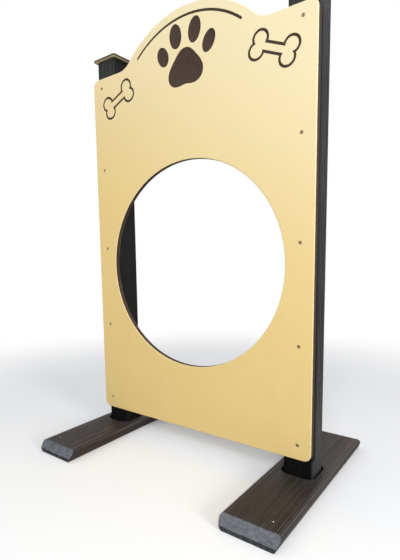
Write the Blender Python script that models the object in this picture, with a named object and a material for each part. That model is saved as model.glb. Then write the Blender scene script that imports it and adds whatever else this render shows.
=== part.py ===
"""Dog agility hoop.

A dog jumps through the round opening of a two-colour plastic panel. The panel is screwed to the front
of two square posts, and each post stands in a pocket of a ribbed foot board and is screwed to it from
below. Nothing on the hoop moves.

Metres, +Z up. X runs along the panel and -Y is its front. The origin is on the ground, midway between
the posts and halfway along the foot boards.
"""

from math import acos, asin, atan2, ceil, cos, pi, radians, sin, sqrt, tan

import bmesh
import bpy
from mathutils import Matrix, Vector

# Opening and panel
OPENING_DIAMETER = 0.700
SIDE_WALL = 0.0875
WALL_BELOW_OPENING = 0.230
SHOULDER_ABOVE_OPENING = 0.350
DOME_RADIUS = 0.350
DOME_RISE = 0.125
DOME_FILLET = 0.075
PANEL_THICKNESS = 0.019
PANEL_CORNER = 0.025
PANEL_EDGE_ROUND = 0.0025
PANEL_OFF_GROUND = 0.095

# Engraving in the panel's front
ENGRAVING_DEPTH = 0.002
ENGRAVED_LINE = 0.008
DOME_LINE_INSET = 0.030
DOME_LINE_HALF_ANGLE = 40
PAW_DROP = 0.190
PAD_RADIUS = 0.062
OUTER_TOE = (0.023, 0.034)
INNER_TOE = (0.025, 0.039)
OUTER_TOE_PLACE = (0.092, 0.058)
INNER_TOE_PLACE = (0.038, 0.107)
OUTER_TOE_TILT = 24
INNER_TOE_TILT = 8
BONE_LENGTH = 0.150
BONE_KNOB_RADIUS = 0.023
BONE_KNOB_SPREAD = 0.017
BONE_BAR_HALF = 0.013
BONE_TILT = 24
BONE_SIDE_INSET = 0.128
BONE_DROP = 0.092

# Posts and caps
POST_SIDE = 0.090
POST_CORNER = 0.006
POST_INSET = 0.005
POST_ABOVE_SHOULDER = 0.0715
POST_GROOVES = 7
POST_GROOVE_WIDTH = 0.0045
POST_GROOVE_DEPTH = 0.0011
CORNER_GROOVE_INSET = 0.008
CORNER_GROOVE_WIDTH = 0.0030
CORNER_GROOVE_DEPTH = 0.0020
CAP_OVERHANG = 0.010
CAP_THICKNESS = 0.009
CAP_CORNER = 0.004
CAP_EDGE_ROUND = 0.001

# Foot boards
BOARD_LENGTH = 0.700
BOARD_WIDTH = 0.172
BOARD_THICKNESS = 0.040
BOARD_TOP_ROUND = 0.0115
BOARD_FOOT_ROUND = 0.008
BOARD_SIDE_LEAN = radians(20)
BOARD_GROOVE_PITCH = 0.0048
BOARD_GROOVE_WIDTH = 0.0026
BOARD_GROOVE_DEPTH = 0.0018
BOARD_GROOVE_FLAT = 0.5
BOARD_EDGE_RIB = 0.0077
END_SLOPE_RUN = 0.0215
END_SLOPE_DROP = 0.027
POST_BEHIND_MIDDLE = 0.013
POCKET_DEPTH = 0.020
POCKET_SIDE_ROOM = 0.010
POCKET_FRONT_ROOM = 0.014
POCKET_CORNER = 0.028

# Panel screws
PANEL_SCREWS = 5
PANEL_SCREW_EDGE_INSET = 0.043
PANEL_SCREW_LOWEST = 0.045
PANEL_SCREW_BELOW_SHOULDER = 0.035
PANEL_SCREW_LENGTH = 0.070
PANEL_SCREW_SHANK = 0.0055
PANEL_SCREW_HEAD = 0.0105
PANEL_SCREW_SUNK = 0.0006

# Cap screws
CAP_SCREW_SPACING = 0.034
CAP_SCREW_LENGTH = 0.045
CAP_SCREW_SHANK = 0.004
CAP_SCREW_HEAD = 0.0078
CAP_SCREW_SUNK = 0.0004

# Board screws, one near the front end of each foot board
BOARD_SCREW_FROM_END = 0.0596
BOARD_SCREW_OFF_MIDDLE = 0.0445
BOARD_SCREW_LENGTH = 0.030
BOARD_SCREW_SHANK = 0.003
BOARD_SCREW_HEAD = 0.0058
BOARD_SCREW_SUNK = 0.0003

# Foot screws and washers, under the posts
FOOT_SCREW_SPACING = 0.054
FOOT_SCREW_SHANK = 0.008
FOOT_SCREW_BITE = 0.065
FOOT_SCREW_HEAD_ACROSS = 0.013
FOOT_SCREW_HEAD_HEIGHT = 0.0053
WASHER_DIAMETER = 0.024
WASHER_THICKNESS = 0.002
COUNTERBORE_DEPTH = 0.010
COUNTERBORE_ROOM = 0.001

# Fits and fineness
TOUCH_GAP = 0.0003
SCREW_ROOM = 0.0005
CUTTER_OVERRUN = 0.002
ARC_TOLERANCE = 0.0002
SCREW_SIDES = 12
SOCKET_ACROSS = 0.5
SOCKET_DEPTH = 0.0022
SOCKET_LOBE = 0.72
WELD = 0.000005

# Worked out from the sizes above
PANEL_WIDTH = OPENING_DIAMETER + 2 * SIDE_WALL
SHOULDER_HEIGHT = WALL_BELOW_OPENING + OPENING_DIAMETER + SHOULDER_ABOVE_OPENING
OPENING_CENTRE = WALL_BELOW_OPENING + OPENING_DIAMETER / 2
DOME_CENTRE = SHOULDER_HEIGHT + DOME_RISE - DOME_RADIUS
POST_X = PANEL_WIDTH / 2 - POST_INSET - POST_SIDE / 2
POST_Y = POST_BEHIND_MIDDLE
POST_FOOT = BOARD_THICKNESS - POCKET_DEPTH + TOUCH_GAP
POST_TOP = PANEL_OFF_GROUND + SHOULDER_HEIGHT + POST_ABOVE_SHOULDER
PANEL_FRONT = POST_Y - POST_SIDE / 2 - TOUCH_GAP - PANEL_THICKNESS
SCREW_X = PANEL_WIDTH / 2 - PANEL_SCREW_EDGE_INSET
SCREW_PITCH = (SHOULDER_HEIGHT - PANEL_SCREW_BELOW_SHOULDER - PANEL_SCREW_LOWEST) / (PANEL_SCREWS - 1)
SCREW_HEIGHTS = [PANEL_SCREW_LOWEST + SCREW_PITCH * i for i in range(PANEL_SCREWS)]
FOOT_SCREW_PLACES = [
    (x * FOOT_SCREW_SPACING / 2, y * FOOT_SCREW_SPACING / 2) for x in (-1, 1) for y in (-1, 1)
]
CAP_SCREW_PLACES = [(side * CAP_SCREW_SPACING / 2, 0.0) for side in (-1, 1)]
SIDES = {"left": -1, "right": 1}

FACING_FRONT = Matrix.Rotation(radians(90), 4, "X")
FACING_DOWN = Matrix.Rotation(pi, 4, "X")


def clear_scene():
    for thing in list(bpy.data.objects):
        bpy.data.objects.remove(thing, do_unlink=True)


def material(name, colour, roughness, metallic=0.0):
    made = bpy.data.materials.new(name)
    made.use_nodes = True
    shader = made.node_tree.nodes["Principled BSDF"]
    shader.inputs["Base Color"].default_value = (*colour, 1.0)
    shader.inputs["Roughness"].default_value = roughness
    shader.inputs["Metallic"].default_value = metallic
    return made


def chords(radius, angle):
    """How many straight steps follow an arc to within the tolerance."""
    widest = 2 * acos(1 - min(ARC_TOLERANCE / radius, 0.1))
    return max(1, ceil(abs(angle) / widest))


def arc(centre, radius, start, end):
    """Points of an arc from one angle to another, in radians, with both ends."""
    steps = chords(radius, end - start)
    angles = [start + (end - start) * i / steps for i in range(steps + 1)]
    return [(centre[0] + radius * cos(a), centre[1] + radius * sin(a)) for a in angles]


def without_repeats(points):
    """The closed outline with each point that equals the one before it left out."""
    kept = []
    for here, before in zip(points, [points[-1]] + points[:-1]):
        if (Vector(here) - Vector(before)).length > WELD:
            kept.append(here)
    return kept


def placed(points, place, tilt=0.0):
    """The outline turned by an angle in degrees, then moved."""
    turn = Matrix.Rotation(radians(tilt), 2)
    return [tuple(turn @ Vector(point) + Vector(place)) for point in points]


def rounded_rectangle(x_low, x_high, y_low, y_high, radius):
    corners = (
        (x_high - radius, y_high - radius, 0),
        (x_low + radius, y_high - radius, pi / 2),
        (x_low + radius, y_low + radius, pi),
        (x_high - radius, y_low + radius, 3 * pi / 2),
    )
    points = []
    for x, y, start in corners:
        points += arc((x, y), radius, start, start + pi / 2)
    return without_repeats(points)


def prism(points, low, high):
    """A closed bmesh: the outline in XY, raised from one height to another."""
    bm = bmesh.new()
    face = bm.faces.new([bm.verts.new((x, y, low)) for x, y in points])
    raised = bmesh.ops.extrude_face_region(bm, geom=[face])["geom"]
    tops = [piece for piece in raised if isinstance(piece, bmesh.types.BMVert)]
    bmesh.ops.translate(bm, verts=tops, vec=(0, 0, high - low))
    bmesh.ops.recalc_face_normals(bm, faces=bm.faces)
    return bm


def plate(points, low, high, edge_round):
    """As prism, with both rims rounded."""
    bm = prism(points, low, high)
    rims = [edge for edge in bm.edges if edge.verts[0].co.z == edge.verts[1].co.z]
    bmesh.ops.bevel(
        bm,
        geom=rims,
        offset=edge_round,
        offset_type="OFFSET",
        segments=2,
        profile=0.5,
        affect="EDGES",
        material=-1,
    )
    return bm


def ring_prism(outer, inner, low, high):
    """As prism, for the band between two outlines of as many points."""
    bm = bmesh.new()
    loops = [[bm.verts.new((x, y, z)) for x, y in line] for line in (outer, inner) for z in (low, high)]
    outer_low, outer_high, inner_low, inner_high = loops
    for first, second in (
        (outer_low, outer_high),
        (outer_high, inner_high),
        (inner_high, inner_low),
        (inner_low, outer_low),
    ):
        for i in range(len(first)):
            bm.faces.new((first[i - 1], first[i], second[i], second[i - 1]))
    bmesh.ops.recalc_face_normals(bm, faces=bm.faces)
    return bm


def turned(profile, sides, closed=False):
    """A closed bmesh of revolution about Z, from its (radius, height) points, top to bottom."""
    bm = bmesh.new()
    line = [bm.verts.new((radius, 0, height)) for radius, height in profile]
    pairs = list(zip(line, line[1:])) + ([(line[-1], line[0])] if closed else [])
    edges = [bm.edges.new(pair) for pair in pairs]
    bmesh.ops.spin(
        bm, geom=line + edges, cent=(0, 0, 0), axis=(0, 0, 1), angle=2 * pi, steps=sides, use_merge=True
    )
    bmesh.ops.remove_doubles(bm, verts=bm.verts, dist=WELD)
    bmesh.ops.recalc_face_normals(bm, faces=bm.faces)
    return bm


def pull_in_alternate(bm, radius, factor):
    """Draws every second point of the ring of this radius towards the axis, for lobes or flats."""
    step = 2 * pi / SCREW_SIDES
    for vert in bm.verts:
        column = round(atan2(vert.co.y, vert.co.x) / step)
        if abs(vert.co.xy.length - radius) < WELD and column % 2:
            vert.co.xy *= factor


def merged(pieces):
    """One bmesh that holds every (bmesh, matrix) piece."""
    whole = bmesh.new()
    for bm, place in pieces:
        bm.transform(place)
        mesh = bpy.data.meshes.new("part_of_cutter")
        bm.to_mesh(mesh)
        bm.free()
        whole.from_mesh(mesh)
        bpy.data.meshes.remove(mesh)
    return whole


def mesh_from(name, bm, finish):
    mesh = bpy.data.meshes.new(name)
    bm.to_mesh(mesh)
    bm.free()
    mesh.materials.append(finish)
    mesh.shade_smooth()
    mesh.set_sharp_from_angle(angle=radians(32))
    return mesh


def put(name, mesh, place, parent):
    thing = bpy.data.objects.new(name, mesh)
    bpy.context.scene.collection.objects.link(thing)
    thing.parent = parent
    thing.location = place
    return thing


def cut(target, name, pieces):
    """Takes the pieces, given in the target's own frame, out of it."""
    mesh = bpy.data.meshes.new(name)
    bm = merged(pieces)
    bm.to_mesh(mesh)
    bm.free()
    cutter = put(name, mesh, target.location, target.parent)
    cutter.hide_render = True
    cutter.display_type = "WIRE"
    boolean = target.modifiers.new(name, "BOOLEAN")
    boolean.operation = "DIFFERENCE"
    boolean.solver = "EXACT"
    boolean.object = cutter


def sunk_screw(length, shank, head, finish, name):
    """A countersunk screw with a six-lobed socket. Its head's top is at height 0."""
    cone = (head - shank) / 2
    socket = head * SOCKET_ACROSS / 2
    profile = [
        (0, -SOCKET_DEPTH),
        (socket, -SOCKET_DEPTH),
        (socket, 0),
        (head / 2, 0),
        (shank / 2, -cone),
        (shank / 2, shank - length),
        (0, -length),
    ]
    bm = turned(profile, SCREW_SIDES)
    pull_in_alternate(bm, socket, SOCKET_LOBE)
    return mesh_from(name, bm, finish)


def sunk_hole(length, shank, head, sunk):
    """The cutter for such a screw, from above the face at height 0 to past the screw's tip."""
    cone = (head - shank) / 2
    wide = head / 2 + SCREW_ROOM
    narrow = shank / 2 + SCREW_ROOM
    profile = [
        (0, CUTTER_OVERRUN),
        (wide, CUTTER_OVERRUN),
        (wide, -sunk),
        (narrow, -sunk - cone),
        (narrow, -sunk - length - SCREW_ROOM),
        (0, -sunk - length - SCREW_ROOM),
    ]
    return turned(profile, SCREW_SIDES)


def at(x, y, z, facing=Matrix()):
    return Matrix.Translation((x, y, z)) @ facing


def panel_outline():
    """The panel's edge, seen from the front: rounded corners, level shoulders and a dome between them."""
    half = PANEL_WIDTH / 2
    corner = PANEL_CORNER
    reach = DOME_RADIUS + DOME_FILLET
    fillet_x = sqrt(DOME_RISE * (2 * reach - DOME_RISE))
    fillet_z = SHOULDER_HEIGHT + DOME_FILLET
    meet = atan2(fillet_z - DOME_CENTRE, fillet_x)
    points = arc((half - corner, corner), corner, -pi / 2, 0)
    points += arc((half - corner, SHOULDER_HEIGHT - corner), corner, 0, pi / 2)
    points += arc((fillet_x, fillet_z), DOME_FILLET, 3 * pi / 2, pi + meet)
    points += arc((0, DOME_CENTRE), DOME_RADIUS, meet, pi - meet)
    points += arc((-fillet_x, fillet_z), DOME_FILLET, 2 * pi - meet, 3 * pi / 2)
    points += arc((-half + corner, SHOULDER_HEIGHT - corner), corner, pi / 2, pi)
    points += arc((-half + corner, corner), corner, pi, 3 * pi / 2)
    return without_repeats(points)


def ellipse(half_width, half_height):
    sides = chords(half_height, 2 * pi)
    angles = [2 * pi * i / sides for i in range(sides)]
    return [(half_width * cos(a), half_height * sin(a)) for a in angles]


def pad_outline():
    """The paw's large pad: a circle swelled into three soft lobes."""
    sides = chords(PAD_RADIUS, 2 * pi)
    points = []
    for i in range(sides):
        angle = 2 * pi * i / sides
        radius = PAD_RADIUS * (1 + 0.10 * cos(2 * angle) - 0.13 * sin(3 * angle))
        points.append((radius * cos(angle), radius * sin(angle)))
    return points


def bone_outline(grow):
    """A bone lying along X: a bar with two knobs at each end, drawn larger by grow all round."""
    knob = BONE_KNOB_RADIUS + grow
    bar = BONE_BAR_HALF + grow
    knob_x = BONE_LENGTH / 2 - BONE_KNOB_RADIUS
    notch = asin(BONE_KNOB_SPREAD / knob)
    neck = asin((BONE_KNOB_SPREAD - bar) / knob)
    steps = chords(BONE_KNOB_RADIUS, pi)
    turn = pi + neck + notch
    quarter = [
        (knob_x + knob * cos(a), BONE_KNOB_SPREAD + knob * sin(a))
        for a in [-notch + turn * i / steps for i in range(steps + 1)]
    ]
    right = [(x, -y) for x, y in quarter[:0:-1]] + quarter
    return without_repeats(right + [(-x, -y) for x, y in right])


def dome_line_outline():
    """A line of one width along the dome, with round ends."""
    radius = DOME_RADIUS - DOME_LINE_INSET
    spread = radians(DOME_LINE_HALF_ANGLE)
    start, end = pi / 2 - spread, pi / 2 + spread
    half = ENGRAVED_LINE / 2
    points = arc((0, 0), radius + half, start, end)
    points += arc((radius * cos(end), radius * sin(end)), half, end, end + pi)
    points += arc((0, 0), radius - half, end, start)
    points += arc((radius * cos(start), radius * sin(start)), half, start - pi, start)
    return without_repeats(placed(points, (0, DOME_CENTRE)))


def engraving_cutters():
    """A paw print under the dome line, with a bone on each side. Outlines are (x, height) on the panel."""
    low, high = -ENGRAVING_DEPTH, CUTTER_OVERRUN
    paw = DOME_CENTRE + DOME_RADIUS - PAW_DROP
    outlines = [dome_line_outline(), placed(pad_outline(), (0, paw))]
    for side in (-1, 1):
        for size, (x, z), tilt in (
            (OUTER_TOE, OUTER_TOE_PLACE, OUTER_TOE_TILT),
            (INNER_TOE, INNER_TOE_PLACE, INNER_TOE_TILT),
        ):
            outlines.append(placed(ellipse(*size), (side * x, paw + z), -side * tilt))
    cutters = [prism(outline, low, high) for outline in outlines]
    for side in (-1, 1):
        place = (side * (PANEL_WIDTH / 2 - BONE_SIDE_INSET), SHOULDER_HEIGHT - BONE_DROP)
        lines = [
            placed(bone_outline(grow), place, -side * BONE_TILT)
            for grow in (ENGRAVED_LINE / 2, -ENGRAVED_LINE / 2)
        ]
        cutters.append(ring_prism(*lines, low, high))
    return [(bm, FACING_FRONT) for bm in cutters]


def opening_cutter():
    """The dog's opening, flared at both faces of the panel for its rounded rim."""
    radius = OPENING_DIAMETER / 2
    edge = PANEL_EDGE_ROUND
    half_way = edge * (1 - sqrt(0.5))
    profile = [
        (0, CUTTER_OVERRUN),
        (radius + edge, CUTTER_OVERRUN),
        (radius + edge, 0),
        (radius + half_way, -half_way),
        (radius, -edge),
        (radius, edge - PANEL_THICKNESS),
        (radius + half_way, half_way - PANEL_THICKNESS),
        (radius + edge, -PANEL_THICKNESS),
        (radius + edge, -PANEL_THICKNESS - CUTTER_OVERRUN),
        (0, -PANEL_THICKNESS - CUTTER_OVERRUN),
    ]
    return turned(profile, chords(radius, 2 * pi))


def make_panel(finish, parent):
    bm = plate(panel_outline(), -PANEL_THICKNESS, 0, PANEL_EDGE_ROUND)
    bm.transform(FACING_FRONT)
    mesh = mesh_from("panel", bm, finish)
    panel = put("panel", mesh, (0, PANEL_FRONT, PANEL_OFF_GROUND), parent)
    cut(panel, "opening_cutter", [(opening_cutter(), at(0, 0, OPENING_CENTRE, FACING_FRONT))])
    holes = []
    for x in (-SCREW_X, SCREW_X):
        for z in SCREW_HEIGHTS:
            hole = sunk_hole(PANEL_SCREW_LENGTH, PANEL_SCREW_SHANK, PANEL_SCREW_HEAD, PANEL_SCREW_SUNK)
            holes.append((hole, at(x, 0, z, FACING_FRONT)))
    cut(panel, "panel_screw_hole_cutters", holes)
    cut(panel, "engraving_cutters", engraving_cutters())


def groove(centre, width, depth, flat=0.0):
    """Points (place, depth) of one groove across a face. Flat is the share of its width that is level."""
    half = width / 2
    if flat:
        floor = [(centre - half * flat, depth), (centre + half * flat, depth)]
    else:
        floor = [(centre, depth)]
    return [(centre - half, 0.0)] + floor + [(centre + half, 0.0)]


def grooves(reach, steps, width, depth, flat=0.0):
    """Grooves at even steps from -reach to reach."""
    points = []
    for i in range(steps + 1):
        points += groove(reach * (2 * i / steps - 1), width, depth, flat)
    return points


def post_outline():
    """The post's cross-section: four grooved faces between rounded corners."""
    half = POST_SIDE / 2
    wide = half - CORNER_GROOVE_INSET
    inner = wide - 2 * wide / (POST_GROOVES - 1)
    face = groove(-wide, CORNER_GROOVE_WIDTH, CORNER_GROOVE_DEPTH)
    face += grooves(inner, POST_GROOVES - 3, POST_GROOVE_WIDTH, POST_GROOVE_DEPTH)
    face += groove(wide, CORNER_GROOVE_WIDTH, CORNER_GROOVE_DEPTH)
    straight = half - POST_CORNER
    side = [(along, depth - half) for along, depth in face]
    side += arc((straight, -straight), POST_CORNER, -pi / 2, 0)
    points = []
    for quarter in range(4):
        points += placed(side, (0, 0), 90 * quarter)
    return without_repeats(points)


def make_post(name, side, finish, parent):
    height = POST_TOP - POST_FOOT
    mesh = mesh_from(name, prism(post_outline(), 0, height), finish)
    post = put(name, mesh, (side * POST_X, POST_Y, POST_FOOT), parent)
    holes = []
    from_axis = side * (SCREW_X - POST_X)
    for z in SCREW_HEIGHTS:
        hole = sunk_hole(PANEL_SCREW_LENGTH, PANEL_SCREW_SHANK, PANEL_SCREW_HEAD, PANEL_SCREW_SUNK)
        place = at(from_axis, PANEL_FRONT - POST_Y, PANEL_OFF_GROUND + z - POST_FOOT, FACING_FRONT)
        holes.append((hole, place))
    for x, y in CAP_SCREW_PLACES:
        hole = sunk_hole(CAP_SCREW_LENGTH, CAP_SCREW_SHANK, CAP_SCREW_HEAD, CAP_SCREW_SUNK)
        holes.append((hole, at(x, y, height + TOUCH_GAP + CAP_THICKNESS)))
    for x, y in FOOT_SCREW_PLACES:
        radius = FOOT_SCREW_SHANK / 2 + SCREW_ROOM
        top = FOOT_SCREW_BITE + SCREW_ROOM
        profile = [(0, top), (radius, top), (radius, -CUTTER_OVERRUN), (0, -CUTTER_OVERRUN)]
        holes.append((turned(profile, SCREW_SIDES), at(x, y, 0)))
    cut(post, name + "_hole_cutters", holes)


def make_cap(name, side, finish, parent):
    """A flat square of sheet that overhangs the post all round."""
    half = POST_SIDE / 2 + CAP_OVERHANG
    outline = rounded_rectangle(-half, half, -half, half, CAP_CORNER)
    bm = plate(outline, 0, CAP_THICKNESS, CAP_EDGE_ROUND)
    place = (side * POST_X, POST_Y, POST_TOP + TOUCH_GAP)
    cap = put(name, mesh_from(name, bm, finish), place, parent)
    holes = []
    for x, y in CAP_SCREW_PLACES:
        hole = sunk_hole(CAP_SCREW_LENGTH, CAP_SCREW_SHANK, CAP_SCREW_HEAD, CAP_SCREW_SUNK)
        holes.append((hole, at(x, y, CAP_THICKNESS)))
    cut(cap, name + "_hole_cutters", holes)


def board_outline():
    """The foot board's cross-section as (x, height): grooved top, round long edges, sides that lean in.

    The fine ribs end at a wider rib along each edge, with one groove more outside it.
    """
    half = BOARD_WIDTH / 2
    top = BOARD_THICKNESS
    level = half - BOARD_TOP_ROUND
    outer = level - BOARD_GROOVE_WIDTH / 2
    inner = outer - BOARD_EDGE_RIB
    shape = (BOARD_GROOVE_WIDTH, BOARD_GROOVE_DEPTH, BOARD_GROOVE_FLAT)
    ribs = groove(-outer, *shape)
    ribs += grooves(inner, round(2 * inner / BOARD_GROOVE_PITCH), *shape)
    ribs += groove(outer, *shape)
    lean = BOARD_SIDE_LEAN
    wider = BOARD_TOP_ROUND - BOARD_FOOT_ROUND
    rise = top - BOARD_TOP_ROUND - BOARD_FOOT_ROUND - wider * sin(lean)
    foot = level + wider * cos(lean) - rise * tan(lean)
    points = arc((foot, BOARD_FOOT_ROUND), BOARD_FOOT_ROUND, -pi / 2, -lean)
    points += arc((level, top - BOARD_TOP_ROUND), BOARD_TOP_ROUND, -lean, pi / 2)
    points += [(x, top - depth) for x, depth in reversed(ribs)]
    points += arc((-level, top - BOARD_TOP_ROUND), BOARD_TOP_ROUND, pi / 2, pi + lean)
    points += arc((-foot, BOARD_FOOT_ROUND), BOARD_FOOT_ROUND, pi + lean, 3 * pi / 2)
    return without_repeats(points)


def slope_end(bm, end):
    """Saws the top edge of one end off at a slope. End is -1 at the front and 1 at the back."""
    place = Vector((0, end * (BOARD_LENGTH / 2 - END_SLOPE_RUN), BOARD_THICKNESS))
    outward = Vector((0, end * END_SLOPE_DROP, END_SLOPE_RUN)).normalized()
    everything = list(bm.verts) + list(bm.edges) + list(bm.faces)
    sawn = bmesh.ops.bisect_plane(
        bm, geom=everything, plane_co=place, plane_no=outward, dist=WELD, clear_outer=True
    )
    rim = [piece for piece in sawn["geom_cut"] if isinstance(piece, bmesh.types.BMEdge)]
    bmesh.ops.edgenet_fill(bm, edges=rim)


def foot_screw_recess():
    """The cutter for a washer's counterbore and the hole above it, from the board's underside up."""
    wide = WASHER_DIAMETER / 2 + COUNTERBORE_ROOM
    narrow = FOOT_SCREW_SHANK / 2 + SCREW_ROOM
    top = BOARD_THICKNESS - POCKET_DEPTH + CUTTER_OVERRUN
    profile = [
        (0, top),
        (narrow, top),
        (narrow, COUNTERBORE_DEPTH),
        (wide, COUNTERBORE_DEPTH),
        (wide, -CUTTER_OVERRUN),
        (0, -CUTTER_OVERRUN),
    ]
    return turned(profile, SCREW_SIDES)


def make_board(name, side, finish, parent):
    bm = prism(board_outline(), -BOARD_LENGTH / 2, BOARD_LENGTH / 2)
    bm.transform(FACING_FRONT)
    for end in (-1, 1):
        slope_end(bm, end)
    bmesh.ops.recalc_face_normals(bm, faces=bm.faces)
    board = put(name, mesh_from(name, bm, finish), (side * POST_X, 0, 0), parent)
    across = POST_SIDE / 2 + POCKET_SIDE_ROOM
    pocket = rounded_rectangle(
        -across,
        across,
        POST_Y - POST_SIDE / 2 - POCKET_FRONT_ROOM,
        POST_Y + across,
        POCKET_CORNER,
    )
    pocket_floor = BOARD_THICKNESS - POCKET_DEPTH
    cutters = [(prism(pocket, pocket_floor, BOARD_THICKNESS + CUTTER_OVERRUN), at(0, 0, 0))]
    cut(board, name + "_pocket_cutter", cutters)
    holes = [(foot_screw_recess(), at(x, POST_Y + y, 0)) for x, y in FOOT_SCREW_PLACES]
    hole = sunk_hole(BOARD_SCREW_LENGTH, BOARD_SCREW_SHANK, BOARD_SCREW_HEAD, BOARD_SCREW_SUNK)
    place = at(side * BOARD_SCREW_OFF_MIDDLE, BOARD_SCREW_FROM_END - BOARD_LENGTH / 2, BOARD_THICKNESS)
    holes.append((hole, place))
    cut(board, name + "_hole_cutters", holes)


def washer_mesh(finish):
    outer = WASHER_DIAMETER / 2
    inner = FOOT_SCREW_SHANK / 2 + SCREW_ROOM
    profile = [(inner, WASHER_THICKNESS), (outer, WASHER_THICKNESS), (outer, 0), (inner, 0)]
    return mesh_from("washer", turned(profile, SCREW_SIDES, closed=True), finish)


def foot_screw_mesh(finish):
    """A hexagon-head screw, point up. Height 0 is the underside of its head."""
    corner = FOOT_SCREW_HEAD_ACROSS / 2 / cos(pi / 6)
    shank = FOOT_SCREW_SHANK / 2
    tip = BOARD_THICKNESS - POCKET_DEPTH - COUNTERBORE_DEPTH + WASHER_THICKNESS + FOOT_SCREW_BITE
    profile = [
        (0, tip),
        (shank, tip - 2 * shank),
        (shank, 0),
        (corner, 0),
        (corner, -FOOT_SCREW_HEAD_HEIGHT),
        (0, -FOOT_SCREW_HEAD_HEIGHT),
    ]
    bm = turned(profile, SCREW_SIDES)
    pull_in_alternate(bm, corner, cos(pi / 6))
    return mesh_from("foot_screw", bm, finish)


def make_panel_screws(finish, parent):
    mesh = sunk_screw(PANEL_SCREW_LENGTH, PANEL_SCREW_SHANK, PANEL_SCREW_HEAD, finish, "panel_screw")
    for word, side in SIDES.items():
        for number, z in enumerate(SCREW_HEIGHTS, 1):
            place = (side * SCREW_X, PANEL_FRONT + PANEL_SCREW_SUNK, PANEL_OFF_GROUND + z)
            screw = put(f"{word}_panel_screw_{number}", mesh, place, parent)
            screw.rotation_euler = FACING_FRONT.to_euler()


def make_cap_screws(finish, parent):
    mesh = sunk_screw(CAP_SCREW_LENGTH, CAP_SCREW_SHANK, CAP_SCREW_HEAD, finish, "cap_screw")
    for word, side in SIDES.items():
        for number, (x, y) in enumerate(CAP_SCREW_PLACES, 1):
            top = POST_TOP + TOUCH_GAP + CAP_THICKNESS - CAP_SCREW_SUNK
            put(f"{word}_cap_screw_{number}", mesh, (side * POST_X + x, POST_Y + y, top), parent)


def make_board_screws(finish, parent):
    mesh = sunk_screw(BOARD_SCREW_LENGTH, BOARD_SCREW_SHANK, BOARD_SCREW_HEAD, finish, "board_screw")
    for word, side in SIDES.items():
        x = side * (POST_X + BOARD_SCREW_OFF_MIDDLE)
        y = BOARD_SCREW_FROM_END - BOARD_LENGTH / 2
        put(f"{word}_board_screw", mesh, (x, y, BOARD_THICKNESS - BOARD_SCREW_SUNK), parent)


def make_foot_screws(finish, parent):
    screw = foot_screw_mesh(finish)
    washer = washer_mesh(finish)
    washer_low = COUNTERBORE_DEPTH - TOUCH_GAP - WASHER_THICKNESS
    for word, side in SIDES.items():
        for number, (x, y) in enumerate(FOOT_SCREW_PLACES, 1):
            place = Vector((side * POST_X + x, POST_Y + y, washer_low))
            put(f"{word}_foot_washer_{number}", washer, place, parent)
            put(f"{word}_foot_screw_{number}", screw, place - Vector((0, 0, TOUCH_GAP)), parent)


def main():
    clear_scene()
    yellow = material("panel_plastic", (0.86, 0.67, 0.33), 0.42)
    anthracite = material("post_plastic", (0.055, 0.055, 0.060), 0.55)
    ribbed = material("board_plastic", (0.065, 0.056, 0.052), 0.60)
    capping = material("cap_plastic", (0.045, 0.035, 0.025), 0.45)
    bronze = material("coated_steel", (0.16, 0.12, 0.07), 0.40, 0.8)
    steel = material("stainless_steel", (0.62, 0.62, 0.63), 0.28, 1.0)
    stand = bpy.data.objects.new("hoop", None)
    bpy.context.scene.collection.objects.link(stand)
    make_panel(yellow, stand)
    for word, side in SIDES.items():
        make_post(f"{word}_post", side, anthracite, stand)
        make_cap(f"{word}_post_cap", side, capping, stand)
        make_board(f"{word}_foot_board", side, ribbed, stand)
    make_panel_screws(bronze, stand)
    make_cap_screws(steel, stand)
    make_board_screws(steel, stand)
    make_foot_screws(steel, stand)


main()
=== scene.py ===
# %% [markdown]
# # A dog agility hoop
#
# The real thing is a free-standing panel with a round opening, which a dog jumps through. The panel is
# routed from two-colour plastic sheet, sand-yellow skins over a dark core. Two square posts of recycled
# plastic carry it, each standing in a pocket of a ribbed foot board.
#
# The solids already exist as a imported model, so the script starts from them and dresses each piece. It
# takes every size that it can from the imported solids, which keeps both models the same size.

from math import asin, atan2, cos, pi, radians, sin, sqrt, tan

import bmesh
import bpy
from bmesh.types import BMEdge, BMFace, BMVert
from mathutils import Matrix, Vector


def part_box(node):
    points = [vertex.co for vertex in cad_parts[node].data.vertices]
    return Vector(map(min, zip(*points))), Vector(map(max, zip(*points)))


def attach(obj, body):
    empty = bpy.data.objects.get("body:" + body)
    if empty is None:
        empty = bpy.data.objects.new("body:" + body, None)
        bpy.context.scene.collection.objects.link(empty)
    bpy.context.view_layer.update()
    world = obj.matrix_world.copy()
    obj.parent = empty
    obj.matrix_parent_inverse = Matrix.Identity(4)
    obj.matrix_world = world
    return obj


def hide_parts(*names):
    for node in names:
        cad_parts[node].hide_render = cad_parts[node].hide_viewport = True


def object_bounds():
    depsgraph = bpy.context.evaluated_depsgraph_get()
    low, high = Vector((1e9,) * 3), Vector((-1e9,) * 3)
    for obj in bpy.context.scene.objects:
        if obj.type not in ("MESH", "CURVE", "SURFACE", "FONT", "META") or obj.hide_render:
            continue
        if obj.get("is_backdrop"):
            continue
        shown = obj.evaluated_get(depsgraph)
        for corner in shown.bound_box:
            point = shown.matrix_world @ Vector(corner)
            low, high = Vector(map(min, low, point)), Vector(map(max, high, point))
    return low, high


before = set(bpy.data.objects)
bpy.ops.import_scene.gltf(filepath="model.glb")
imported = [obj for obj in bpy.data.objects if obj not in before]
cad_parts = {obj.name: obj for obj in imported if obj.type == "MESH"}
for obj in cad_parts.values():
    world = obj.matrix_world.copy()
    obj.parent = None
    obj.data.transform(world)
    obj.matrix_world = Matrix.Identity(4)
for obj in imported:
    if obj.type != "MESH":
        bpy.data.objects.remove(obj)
cad_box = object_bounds()
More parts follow.
